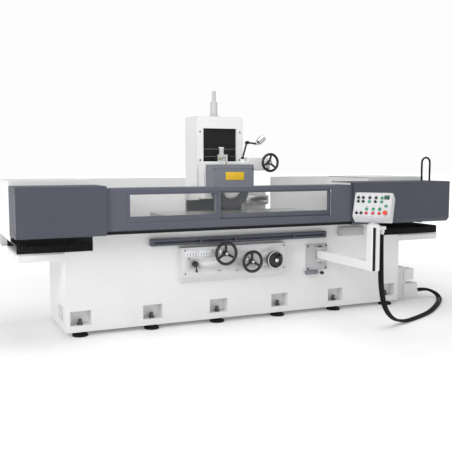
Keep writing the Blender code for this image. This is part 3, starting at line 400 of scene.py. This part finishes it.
def smooth_route(route, count):
    """Evenly spaced points of a Catmull-Rom curve through the route."""
    knots = [Vector(p) for p in route]
    knots = [2 * knots[0] - knots[1]] + knots + [2 * knots[-1] - knots[-2]]
    fine = []
    for a, b, c, d in zip(knots, knots[1:], knots[2:], knots[3:]):
        for k in range(40):
            t = k / 40
            fine.append(0.5 * ((2 * b) + (c - a) * t + (2 * a - 5 * b + 4 * c - d) * t * t
                               + (3 * b - a - 3 * c + d) * t ** 3))
    fine.append(knots[-2])
    run = [0.0]
    for a, b in zip(fine, fine[1:]):
        run.append(run[-1] + (b - a).length)
    path = []
    k = 0
    for i in range(count):
        goal = run[-1] * i / (count - 1)
        while k < len(run) - 2 and run[k + 1] < goal:
            k += 1
        part = (goal - run[k]) / (run[k + 1] - run[k])
        path.append(fine[k].lerp(fine[k + 1], min(max(part, 0.0), 1.0)))
    return path


def add_screws(form, places, radius=0.006, height=0.004, normal=FORWARD, place=None):
    """Socket screws: a chamfered head with a sunk hexagon, one at each place."""
    for spot in places:
        add_turned(form, [(radius * 0.96, -0.001), (radius, 0.0), (radius, height * 0.75),
                          (radius * 0.85, height), (radius * 0.5, height)], spot, normal, 20, place)
        floor_of_hexagon = Vector(spot) + Vector(normal) * (height * 0.3)
        add_turned(form, [(radius * 0.5, height * 0.7), (radius * 0.48, 0.0), (0.0, 0.0)], floor_of_hexagon,
                   normal, 6, place)


# ---------------------------------------------------------------- console conduits
CONDUIT_ROUTE = [
    (0.822, -0.822, 0.8147), (0.822, -0.822, 0.775), (0.826, -0.822, 0.600), (0.842, -0.817, 0.360),
    (0.900, -0.800, 0.180), (1.020, -0.760, 0.066), (1.190, -0.705, 0.018), (1.390, -0.625, 0.013),
    (1.640, -0.495, 0.013), (1.880, -0.315, 0.013), (2.075, -0.140, 0.013), (2.200, 0.000, 0.018),
    (2.235, 0.105, 0.045), (2.180, 0.168, 0.075), (2.100, 0.183, 0.085), (2.050, 0.183, 0.085),
    (2.0005, 0.183, 0.085),
]


def conduit_route(k):
    """Route of a conduit from the post to its gland; the second runs on the first one's left."""
    if k == 0:
        return CONDUIT_ROUTE
    places = [Vector(p) for p in CONDUIT_ROUTE]
    last = len(places) - 1
    route = []
    for i, place in enumerate(places):
        j = min(max(i, 4), last - 1)
        ahead = places[j + 1] - places[j - 1]
        left = Vector((-ahead.y, ahead.x, 0)).normalized()
        spread = {last: 0.058, last - 1: 0.058, last - 2: 0.055, last - 3: 0.040}.get(i, 0.028)
        if i >= last - 2:
            left = Vector(FORWARD)
        route.append(place + left * spread)
    return route


for k in range(2):
    path = [p + DATUM for p in smooth_route(conduit_route(k), 160)]
    form = bmesh.new()
    add_sweep(form, path, 0.0119, 20, place=Matrix.Identity(4))
    conduit = piece(f"conduit_hose_{k + 1}", form, None, RUBBER, 60)
    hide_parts(f"conduit_{k + 1}")
    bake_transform(conduit)


# ---------------------------------------------------------------- bellows
def make_bellows(node, start, end):
    """Pleated cover with rounded shoulders, between the given ends."""
    pleats = 52
    front, back, low, high, wall = 0.0135, 0.632, 0.6995, 0.772, 0.020
    shoulder, fold, steps = 0.014, 0.0085, 5
    form = bmesh.new()
    rings = []
    for k in range(2 * pleats + 1):
        x = start + (end - start) * k / (2 * pleats)
        dip = 0.0 if k % 2 == 0 else fold
        outer = [(front + dip, low)]
        for a in range(steps):
            t = math.pi / 2 * a / (steps - 1)
            outer.append((front + dip + shoulder * (1 - math.cos(t)),
                          high - dip - shoulder * (1 - math.sin(t))))
        for a in range(steps):
            t = math.pi / 2 * (1 - a / (steps - 1))
            outer.append((back - dip - shoulder * (1 - math.cos(t)),
                          high - dip - shoulder * (1 - math.sin(t))))
        outer.append((back - dip, low))
        inner = [(back - wall, low), (back - wall, high - wall), (front + wall, high - wall),
                 (front + wall, low)]
        rings.append([form.verts.new(bed(x, y, z)) for y, z in outer + inner])
    count = len(rings[0])
    for a, b in zip(rings, rings[1:]):
        for i in range(count):
            j = (i + 1) % count
            form.faces.new((a[i], a[j], b[j], b[i]))
    form.faces.new(rings[0])
    form.faces.new(rings[-1])
    cover = piece(node + "_cover", form, None, FABRIC, 30)
    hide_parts(node)
    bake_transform(cover)


make_bellows("bellows_left", -2.015, -0.7603)
make_bellows("bellows_right", 0.8403, 2.135)


# ---------------------------------------------------------------- window sashes
def make_sash(node, body, limits, front):
    """Sliding sash: two rails, two stiles and a clear pane between them."""
    low, high = 0.9385, 1.1715
    back = front + 0.012
    stile_y, stile_z = (front + 0.0002, back - 0.0002), (low + 0.044, high - 0.013)
    form = bmesh.new()
    add_box(form, limits, (front, back), (low, low + 0.045), 0.0015)
    add_box(form, limits, (front, back), (high - 0.014, high), 0.0015)
    add_box(form, (limits[0], limits[0] + 0.030), stile_y, stile_z)
    add_box(form, (limits[1] - 0.030, limits[1]), stile_y, stile_z)
    sash = piece(node + "_frame", form, body, SLATE)
    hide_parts(node)
    form = bmesh.new()
    add_box(form, (limits[0] + 0.0302, limits[1] - 0.0302), (front + 0.0045, front + 0.0075),
            (low + 0.0452, high - 0.0142), 0.0)
    piece(node + "_pane", form, body, PANE)


make_sash("sash_left", "sash_left_body", (-1.201, -0.385), -0.2225)
make_sash("sash_right", "sash_right_body", (-0.435, 0.704), -0.2095)


# ---------------------------------------------------------------- handwheels
def make_handwheel(node, body, centre, radius, spokes=3, tilt=90.0):
    """Cast handwheel: round rim, dished spokes, bright hub nut and a turned crank handle."""
    x, z = centre
    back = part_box(node)[1][1] - DATUM.y
    rim_y, tube = back - 0.040, 0.0132
    form = bmesh.new()
    middle = radius - tube
    ring = [(x + middle * math.cos(a), rim_y, z + middle * math.sin(a))
            for a in (2 * math.pi * k / 72 for k in range(72))]
    add_sweep(form, ring, tube, 20, closed=True)
    for k in range(spokes):
        turn = math.radians(tilt + 360 * k / spokes)
        reach = Vector((math.cos(turn), 0, math.sin(turn)))
        path = []
        for i in range(9):
            t = i / 8
            path.append(Vector((x, back - 0.026 - 0.014 * t * t, z)) + reach * (0.012 + (middle - 0.012) * t))
        add_sweep(form, path, 0.0125, 14, end_radius=0.0095)
    add_turned(form, [(0.0, -0.001), (0.0235, -0.001), (0.024, 0.004), (0.024, 0.030), (0.019, 0.040),
                      (0.0165, 0.048), (0.0, 0.048)], (x, back - 0.0003, z), FORWARD, 40)
    wheel = piece(node + "_casting", form, body, PHENOLIC, 40)
    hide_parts(node)
    turn = math.radians(tilt + 25)
    crank = (x + middle * math.cos(turn), back - 0.042, z + middle * math.sin(turn))
    form = bmesh.new()
    add_turned(form, [(0.0, -0.004), (0.0052, -0.004), (0.0052, 0.012), (0.0, 0.012)], crank, FORWARD, 16)
    add_turned(form, [(0.0, 0.047), (0.0135, 0.0475), (0.0125, 0.052), (0.006, 0.056), (0.0, 0.056)],
               (x, back - 0.0003, z), FORWARD, 32)
    piece(node + "_nut", form, body, STEEL)
    form = bmesh.new()
    add_turned(form, [(0.0, 0.010), (0.0055, 0.010), (0.0072, 0.014), (0.0078, 0.026), (0.0096, 0.046),
                      (0.0088, 0.055), (0.005, 0.0595), (0.0, 0.060)], crank, FORWARD, 24)
    piece(node + "_grip", form, body, PHENOLIC)


make_handwheel("handwheel_table", "table_handwheel_body", TABLE_WHEEL, 0.105)
make_handwheel("handwheel_lift", "lift_handwheel_body", LIFT_WHEEL, 0.100)
make_handwheel("head_handwheel", "head_handwheel_body", FEED_WHEEL, 0.098, tilt=200.0)


# ---------------------------------------------------------------- control panel on the bed
# front plate, with a hole for each wheel's stub and the lever
PLATE_FACE = -0.083
form = bmesh.new()
add_box(form, (-0.672, 0.315), (PLATE_FACE, -0.0798), (0.452, 0.682), 0.001)
panel = piece("panel_plate", form, None, PANEL)
for spot, radius in ((TABLE_WHEEL, 0.0345), (LIFT_WHEEL, 0.0345), (CROSS_DIAL, 0.0345), (LEVER, 0.0265)):
    form = bmesh.new()
    add_turned(form, [(radius, -0.02), (radius, 0.02)], (spot[0], -0.082, spot[1]), FORWARD, 48)
    hole = piece("panel_hole", form, None, WHITE)
    cutter = panel.modifiers.new("hole", "BOOLEAN")
    cutter.operation = "DIFFERENCE"
    cutter.object = hole
    bpy.context.view_layer.update()
    cut_mesh = bpy.data.meshes.new_from_object(panel.evaluated_get(bpy.context.evaluated_depsgraph_get()))
    panel.modifiers.clear()
    panel.data = cut_mesh
    bpy.data.objects.remove(hole, do_unlink=True)
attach(panel, "base")

form = bmesh.new()
add_screws(form, [(px, PLATE_FACE, pz) for px, pz in ((-0.655, 0.468), (-0.655, 0.667), (-0.17, 0.468),
                                                      (0.298, 0.468), (0.298, 0.667))], 0.0065, 0.004)
piece("panel_screws", form, "base", ZINC)

# two pale labels with generic marks, and small indicator dots
LABELS_LEFT = (-0.652, -0.528)
MARK_Y = (-0.0843, -0.0837)
form = bmesh.new()
for left in LABELS_LEFT:
    add_box(form, (left, left + 0.112), (-0.0838, -0.0829), (0.612, 0.672), 0.0003)
piece("panel_labels", form, "base", LIT)
form = bmesh.new()
for left in LABELS_LEFT:
    for i in range(4):
        px = left + 0.012 + 0.025 * i
        add_box(form, (px, px + 0.014), MARK_Y, (0.650, 0.651), 0.0)
        add_box(form, (px + 0.004, px + 0.010), MARK_Y, (0.624, 0.640), 0.0)
    for z in (0.6135, 0.6695):
        add_box(form, (left + 0.002, left + 0.110), MARK_Y, (z, z + 0.001), 0.0)
for px in (-0.35, -0.33):
    add_turned(form, [(0.0055, 0.0), (0.0055, 0.003), (0.0, 0.003)], (px, PLATE_FACE, 0.478), FORWARD, 20)
add_turned(form, [(0.006, 0.0), (0.006, 0.003), (0.0, 0.003)], (-0.62, PLATE_FACE, 0.595), FORWARD, 20)
piece("panel_marks", form, "base", INK)

# graduated collars behind the wheels
COLLAR_BORE, COLLAR_RADIUS = 0.0206, 0.030
for name, (px, pz) in (("table", TABLE_WHEEL), ("lift", LIFT_WHEEL), ("cross", CROSS_DIAL)):
    form = bmesh.new()
    add_turned(form, [(COLLAR_BORE, 0.0), (COLLAR_RADIUS, 0.0), (COLLAR_RADIUS, 0.014),
                      (COLLAR_RADIUS - 0.003, 0.017), (COLLAR_BORE, 0.017)],
               (px, -0.093, pz), FORWARD, 48, hoop=True)
    piece("collar_" + name, form, "base", STEEL)
    form = bmesh.new()
    for i in range(50):
        a = 2 * math.pi * i / 50
        tall = 0.008 if i % 5 == 0 else 0.005
        at = Matrix.Translation(DATUM + Vector((px, -0.0935, pz))) @ Matrix.Rotation(-a, 4, "Y")
        add_box(form, (-0.0004, 0.0004), (-tall, 0.0), (COLLAR_RADIUS - 0.0005, COLLAR_RADIUS + 0.0002),
                0.0, at)
    piece("collar_marks_" + name, form, "base", INK)

# cross-feed dial: bright rim ring and hub button
form = bmesh.new()
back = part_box("dial_cross")[1][1] - DATUM.y
add_turned(form, [(0.0705, 0.0302), (0.0775, 0.0302), (0.0775, 0.0322), (0.0705, 0.0345)],
           (CROSS_DIAL[0], back, CROSS_DIAL[1]), FORWARD, 64, hoop=True)
add_turned(form, [(0.012, 0.049), (0.017, 0.049), (0.017, 0.053), (0.0, 0.056)],
           (CROSS_DIAL[0], back, CROSS_DIAL[1]), FORWARD, 32)
piece("cross_dial_trim", form, "cross_dial_body", STEEL)

# ---------------------------------------------------------------- console
WIDTH, DEPTH, HEIGHT = 0.310, 0.110, 0.225
CONSOLE = (Matrix.Translation(bed(0.716, -0.841, 1.042)) @ Matrix.Rotation(math.radians(-48), 4, "Z")
           @ Matrix.Rotation(math.radians(-28), 4, "X"))
CONTROLS = {
    "press": [(0.09, 0.21), (0.22, 0.21), (0.40, 0.21), (0.57, 0.21), (0.73, 0.21), (0.23, 0.37),
              (0.40, 0.37), (0.56, 0.37), (0.73, 0.37), (0.86, 0.54), (0.35, 0.67), (0.53, 0.67),
              (0.70, 0.67), (0.35, 0.85), (0.53, 0.85), (0.70, 0.85)],
    "turn": [(0.10, 0.37), (0.09, 0.85), (0.21, 0.85)],
    "stop": [(0.86, 0.84)],
}


def on_console(across, down, out=0.0):
    """A point of the console's face, in the console's own coordinates."""
    return Vector(((across - 0.5) * WIDTH * 0.97, -DEPTH / 2 - out, (0.5 - down) * HEIGHT * 0.97))


form = bmesh.new()
for kind, places in CONTROLS.items():
    for across, down in places:
        add_turned(form, [(0.0121, -0.0005), (0.0152, -0.0005), (0.0152, 0.002), (0.0140, 0.0034),
                          (0.0121, 0.0034)], on_console(across, down), FORWARD, 28, CONSOLE, hoop=True)
piece("console_collars", form, "console_body", STEEL)
form = bmesh.new()
top_left, low_right = on_console(0.79, 0.10), on_console(0.93, 0.27)
add_box(form, (top_left.x, low_right.x), (-DEPTH / 2 - 0.004, -DEPTH / 2 + 0.001), (low_right.z, top_left.z),
        0.001, CONSOLE)
piece("console_display", form, "console_body", SCREEN)
form = bmesh.new()
for row in range(2):
    for i in range(5):
        at = on_console(0.806 + 0.023 * i, 0.155 + 0.065 * row, 0.0042)
        add_box(form, (at.x, at.x + 0.004), (at.y, at.y + 0.0006), (at.z - 0.004, at.z + 0.004), 0.0, CONSOLE)
piece("console_digits", form, "console_body", GREEN)
form = bmesh.new()
for kind, places in CONTROLS.items():
    for across, down in places:
        at = on_console(across, down, 0.0004)
        rise = 0.0185 if kind != "stop" else 0.024
        add_box(form, (at.x - 0.009, at.x + 0.009), (at.y, at.y + 0.0006),
                (at.z + rise, at.z + rise + 0.0014), 0.0, CONSOLE)
        add_box(form, (at.x - 0.005, at.x + 0.005), (at.y, at.y + 0.0006),
                (at.z + rise + 0.0024, at.z + rise + 0.0032), 0.0, CONSOLE)
edge_x, edge_z, line = WIDTH / 2 - 0.010, HEIGHT / 2 - 0.008, 0.0008
for across, up in (((-edge_x, edge_x), (-edge_z, -edge_z + line)),
                   ((-edge_x, edge_x), (edge_z - line, edge_z)),
                   ((-edge_x, -edge_x + line), (-edge_z, edge_z)),
                   ((edge_x - line, edge_x), (-edge_z, edge_z))):
    add_box(form, across, (-DEPTH / 2 - 0.0004, -DEPTH / 2 + 0.0004), up, 0.0, CONSOLE)
piece("console_marks", form, "console_body", INK)
form = bmesh.new()
add_screws(form, [(sx * (WIDTH / 2 - 0.0055), -DEPTH / 2, sz * (HEIGHT / 2 - 0.005)) for sx in (-1, 1)
                  for sz in (-1, 1)], 0.003, 0.0015, place=CONSOLE)
piece("console_screws", form, "console_body", ZINC)

# dark strip down the post, and the arm's bolts
form = bmesh.new()
add_box(form, (0.683, 0.709), (-0.8855, -0.8815), (0.522, 0.880), 0.001)
piece("post_strip", form, "arm_body", BLACK)
form = bmesh.new()
add_screws(form, [(px, -0.018, pz) for pz in (0.425, 0.634) for px in (0.590, 0.785)], 0.009, 0.006)
for pz, way in ((0.626, UP), (0.494, (0, 0, -1))):
    add_turned(form, [(0.0, 0.0), (0.014, 0.0), (0.014, 0.010), (0.010, 0.014), (0.0, 0.014)],
               (0.705, -0.050, pz), way, 6)
piece("bracket_bolts", form, "base", ZINC)

# clamping lever under the bracket
form = bmesh.new()
add_box(form, (0.560, 0.690), (-0.040, -0.0185), (0.372, 0.4085), 0.003)
piece("bracket_clamp", form, "base", GREY)
form = bmesh.new()
add_turned(form, [(0.0, 0.0), (0.010, 0.0), (0.010, 0.020), (0.016, 0.024), (0.016, 0.040), (0.0, 0.044)],
           (0.720, -0.030, 0.385), FORWARD, 24)
piece("bracket_knob", form, "base", PHENOLIC)

# ---------------------------------------------------------------- column and wheelhead
form = bmesh.new()
add_screws(form, [(px, 0.950, pz) for px in (-0.095, 0.345) for pz in (1.720, 1.436, 1.150)], 0.008, 0.005)
add_screws(form, [(px, py, 1.873) for px in (-0.100, 0.350) for py in (1.02, 1.02 + 0.06 * 3)],
           0.008, 0.005, UP)
piece("column_screws", form, "base", ZINC)
form = bmesh.new()
for z in (1.47, 1.545):
    add_box(form, (-0.070, 0.320), (0.9803, 0.9815), (z, z + 0.004), 0.0004)
piece("cover_folds", form, "carriage_body", GREY)

form = bmesh.new()
add_box(form, (0.040, 0.237), (0.6190, 0.6218), (1.240, 1.318), 0.0008)
piece("guard_plate", form, "head_body", YELLOW)
form = bmesh.new()
for z in (1.2445, 1.3125):
    add_box(form, (0.046, 0.231), (0.6184, 0.6191), (z, z + 0.0012), 0.0)
for i in range(3):
    add_box(form, (0.060, 0.215 - 0.03 * i), (0.6184, 0.6191), (1.295 - 0.017 * i, 1.297 - 0.017 * i), 0.0)
piece("guard_plate_marks", form, "head_body", ORANGE)
form = bmesh.new()
add_screws(form, [(px, 0.6215, pz) for px in (-0.080, 0.330) for pz in (1.165, 1.345)], 0.006, 0.004)
add_screws(form, [(px, 0.619, 1.2795) for px in (0.046, 0.231)], 0.0022, 0.0012)
piece("guard_screws", form, "head_body", ZINC)
form = bmesh.new()
add_box(form, (-0.099, 0.349), (0.6190, 0.6220), (1.150, 1.158), 0.001)
add_box(form, (-0.099, 0.349), (0.6190, 0.6220), (1.352, 1.358), 0.001)
piece("guard_seams", form, "head_body", GREY)

# coolant parts: dark hose, brass nozzle
form = bmesh.new()
add_sweep(form, smooth_route([(0.150, 0.865, 1.475), (0.190, 0.862, 1.470), (0.225, 0.850, 1.445),
                              (0.240, 0.840, 1.425)], 24), 0.008, 16)
piece("valve_hose", form, "head_body", RUBBER)
form = bmesh.new()
add_turned(form, [(0.0, 0.0), (0.010, 0.0), (0.010, 0.008), (0.007, 0.012), (0.0055, 0.034), (0.0, 0.034)],
           (0.080, 0.694, 1.4105), (0, 0, -1), 20)
add_turned(form, [(0.0, 0.0), (0.0135, 0.0), (0.0135, 0.014), (0.0, 0.014)], (0.080, 0.826, 1.452),
           FORWARD, 6)
piece("valve_nozzle", form, "head_body", BRASS)
form = bmesh.new()
add_turned(form, [(0.0265, 0.0), (0.0275, 0.003), (0.0275, 0.008), (0.0265, 0.010), (0.0, 0.010)],
           (0.100, 0.865, 1.553), UP, 32)
piece("valve_cap", form, "head_body", WHITE)

# covers seen through the window, in front of the column's foot
form = bmesh.new()
add_box(form, (-0.255, 0.030), (0.885, 0.925), (0.930, 1.036), 0.003)
add_box(form, (0.098, 0.330), (0.880, 0.920), (0.925, 1.034), 0.003)
piece("foot_covers", form, "base", BLACK)
form = bmesh.new()
add_box(form, (0.395, 0.652), (0.885, 0.925), (0.975, 1.070), 0.003)
piece("way_cover_box", form, "base", STEEL)

# ---------------------------------------------------------------- guards, rail, bed trim
DOGS = (-0.498, -0.169, 0.417)
form = bmesh.new()
for px in DOGS:
    add_box(form, (px - 0.011, px + 0.011), (-0.0655, -0.0400), (0.722, 0.766), 0.0015)
piece("rail_clamps", form, "base", SLATE)
form = bmesh.new()
add_screws(form, [(px, -0.0655, 0.744) for px in DOGS], 0.006, 0.004)
piece("rail_screws", form, "base", ZINC)
form = bmesh.new()
add_box(form, (0.925, 1.205), (-0.034, -0.0008), (0.716, 0.800), 0.003)
piece("limit_box", form, "base", PALE)
form = bmesh.new()
add_screws(form, [(px, -0.034, pz) for px in (0.945, 1.185) for pz in (0.732, 0.784)], 0.005, 0.003)
piece("limit_screws", form, "base", ZINC)

form = bmesh.new()
for side in (-1, 1):
    add_screws(form, [(2.05 * side, py, pz) for py in (-0.215, 0.095) for pz in (0.880, 1.190)], 0.007, 0.004,
               (side, 0, 0))
piece("guard_end_screws", form, "base", ZINC)

# black strip along the middle guard's lower edge as painted shade under the panel's bent-back lip, and splash
# curtains at the hoods' inner ends
form = bmesh.new()
add_box(form, (-1.362, 0.928), (-0.2262, -0.2236), (0.8465, 0.869), 0.0006)
piece("guard_lip_painted_shade", form, "base", RUBBER)
form = bmesh.new()
for px in (-1.3735, 1.3705):
    for k in range(12):
        y = 0.142 + 0.0595 * k
        lap = 0.0012 * (k % 2)
        add_box(form, (px + lap, px + 0.0014 + lap), (y, y + 0.064), (1.085, 1.258), 0.0)
piece("hood_curtains", form, "base", WHITE)

# levelling nuts and screws in the bed's front pockets
POCKETS = [-1.53 + 0.611 * i for i in range(5)] + [1.525]
form = bmesh.new()
for px in POCKETS:
    add_turned(form, [(0.0, 0.0), (0.024, 0.0), (0.024, 0.016), (0.022, 0.018), (0.0, 0.018)],
               (px, 0.042, 0.0925), UP, 6)
    add_turned(form, [(0.0, 0.0), (0.0152, 0.0), (0.0152, 0.046), (0.0130, 0.049), (0.0, 0.049)],
               (px, 0.042, 0.0925), UP, 24)
piece("levelling_screws", form, "base", ZINC)

# black pads over the feet
form = bmesh.new()
FEET = [(px, 0.042) for px in POCKETS] + [(px, 0.658) for px in POCKETS if not -0.39 < px < 0.755]
FEET += [(-0.130, 1.600), (0.495, 1.600)]
for px, py in FEET:
    add_turned(form, [(0.0624, 0.0002), (0.0640, 0.003), (0.0640, 0.013), (0.0630, 0.0175), (0.0300, 0.0295),
                      (0.0150, 0.0295), (0.0150, 0.0278), (0.0300, 0.0278), (0.0622, 0.0162)],
               (px, py, 0.0), UP, 40, hoop=True)
piece("foot_pads", form, "base", RUBBER)

# lamp lens in the reflector, and the cooling fins around it
LAMP_WRIST = (0.478, 0.8397 - 0.0203, 1.602)
LAMP_TILT = math.radians(38.0)
LAMP_AXIS = (math.cos(LAMP_TILT), 0.0, math.sin(LAMP_TILT))
form = bmesh.new()
add_turned(form, [(0.0096, 0.040), (0.0284, 0.040), (0.0284, 0.044), (0.0096, 0.044)],
           LAMP_WRIST, LAMP_AXIS, 36, hoop=True)
piece("lamp_lens", form, "lamp_head_body", LIT)
form = bmesh.new()
for i in range(4):
    along = 0.040 + 0.012 * i
    add_turned(form, [(0.0338, along), (0.0352, along + 0.001), (0.0352, along + 0.003),
                      (0.0338, along + 0.004)], LAMP_WRIST, LAMP_AXIS, 36, hoop=True)
piece("lamp_fins", form, "lamp_head_body", STEEL)

# ---------------------------------------------------------------- floor and light
# white floor that glows a little more with distance, to meet the backdrop
floor_mesh = bpy.data.meshes.new("floor")
floor_form = bmesh.new()
bmesh.ops.create_grid(floor_form, x_segments=1, y_segments=1, size=60.0)
floor_form.to_mesh(floor_mesh)
floor_form.free()
floor = bpy.data.objects.new("floor", floor_mesh)
floor.location = (0, 0, -0.0005)
bpy.context.collection.objects.link(floor)
floor_paint = surface("floor_paint", (0.88, 0.88, 0.88), 0.6, vary=0.01, bump=0.0)
floor_nodes, floor_links = floor_paint.node_tree.nodes, floor_paint.node_tree.links
spot = floor_nodes.new("ShaderNodeTexCoord")
reach = floor_nodes.new("ShaderNodeVectorMath")
reach.operation = "LENGTH"
glow = floor_nodes.new("ShaderNodeMapRange")
glow.inputs["From Min"].default_value = 2.0
glow.inputs["From Max"].default_value = 7.0
glow.inputs["To Min"].default_value = 0.10
glow.inputs["To Max"].default_value = 0.80
floor_links.new(spot.outputs["Object"], reach.inputs[0])
floor_links.new(reach.outputs["Value"], glow.inputs["Value"])
floor_links.new(glow.outputs["Result"], floor_nodes["Principled BSDF"].inputs["Emission Strength"])
floor_nodes["Principled BSDF"].inputs["Emission Color"].default_value = (1.0, 1.0, 1.0, 1.0)
floor_mesh.materials.append(floor_paint)


def area_light(name, place, aim, size, power):
    """Round area light aimed at a point, and not itself in the picture."""
    light = bpy.data.lights.new(name, "AREA")
    light.shape = "DISK"
    light.size = size
    light.energy = power
    item = bpy.data.objects.new(name, light)
    item.location = place
    item.rotation_euler = (Vector(aim) - Vector(place)).to_track_quat("-Z", "Y").to_euler()
    item.visible_camera = False
    bpy.context.collection.objects.link(item)


area_light("key", (-7.0, -4.5, 4.5), (0, 0, 0.8), 4.0, 330)
area_light("front", (1.0, -8.0, 3.0), (0, 0, 0.8), 5.0, 40)
area_light("top", (0.5, -0.5, 6.5), (0, 0, 0.8), 6.0, 230)
area_light("work_space", bed(-0.25, -0.75, 2.25), bed(-0.25, 0.86, 1.05), 1.4, 3)

# white surroundings: dim as a light, bright as the backdrop
world = bpy.data.worlds.new("studio")
world.use_nodes = True
sky = world.node_tree.nodes["Background"]
sky.inputs["Color"].default_value = (1.0, 1.0, 1.0, 1.0)
sky.inputs["Strength"].default_value = 0.42
backdrop = world.node_tree.nodes.new("ShaderNodeBackground")
backdrop.inputs["Color"].default_value = (1.0, 1.0, 1.0, 1.0)
backdrop.inputs["Strength"].default_value = 0.98
seen = world.node_tree.nodes.new("ShaderNodeLightPath")
choose = world.node_tree.nodes.new("ShaderNodeMixShader")
world.node_tree.links.new(seen.outputs["Is Camera Ray"], choose.inputs["Fac"])
world.node_tree.links.new(sky.outputs["Background"], choose.inputs[1])
world.node_tree.links.new(backdrop.outputs["Background"], choose.inputs[2])
world.node_tree.links.new(choose.outputs["Shader"], world.node_tree.nodes["World Output"].inputs["Surface"])
bpy.context.scene.world = world
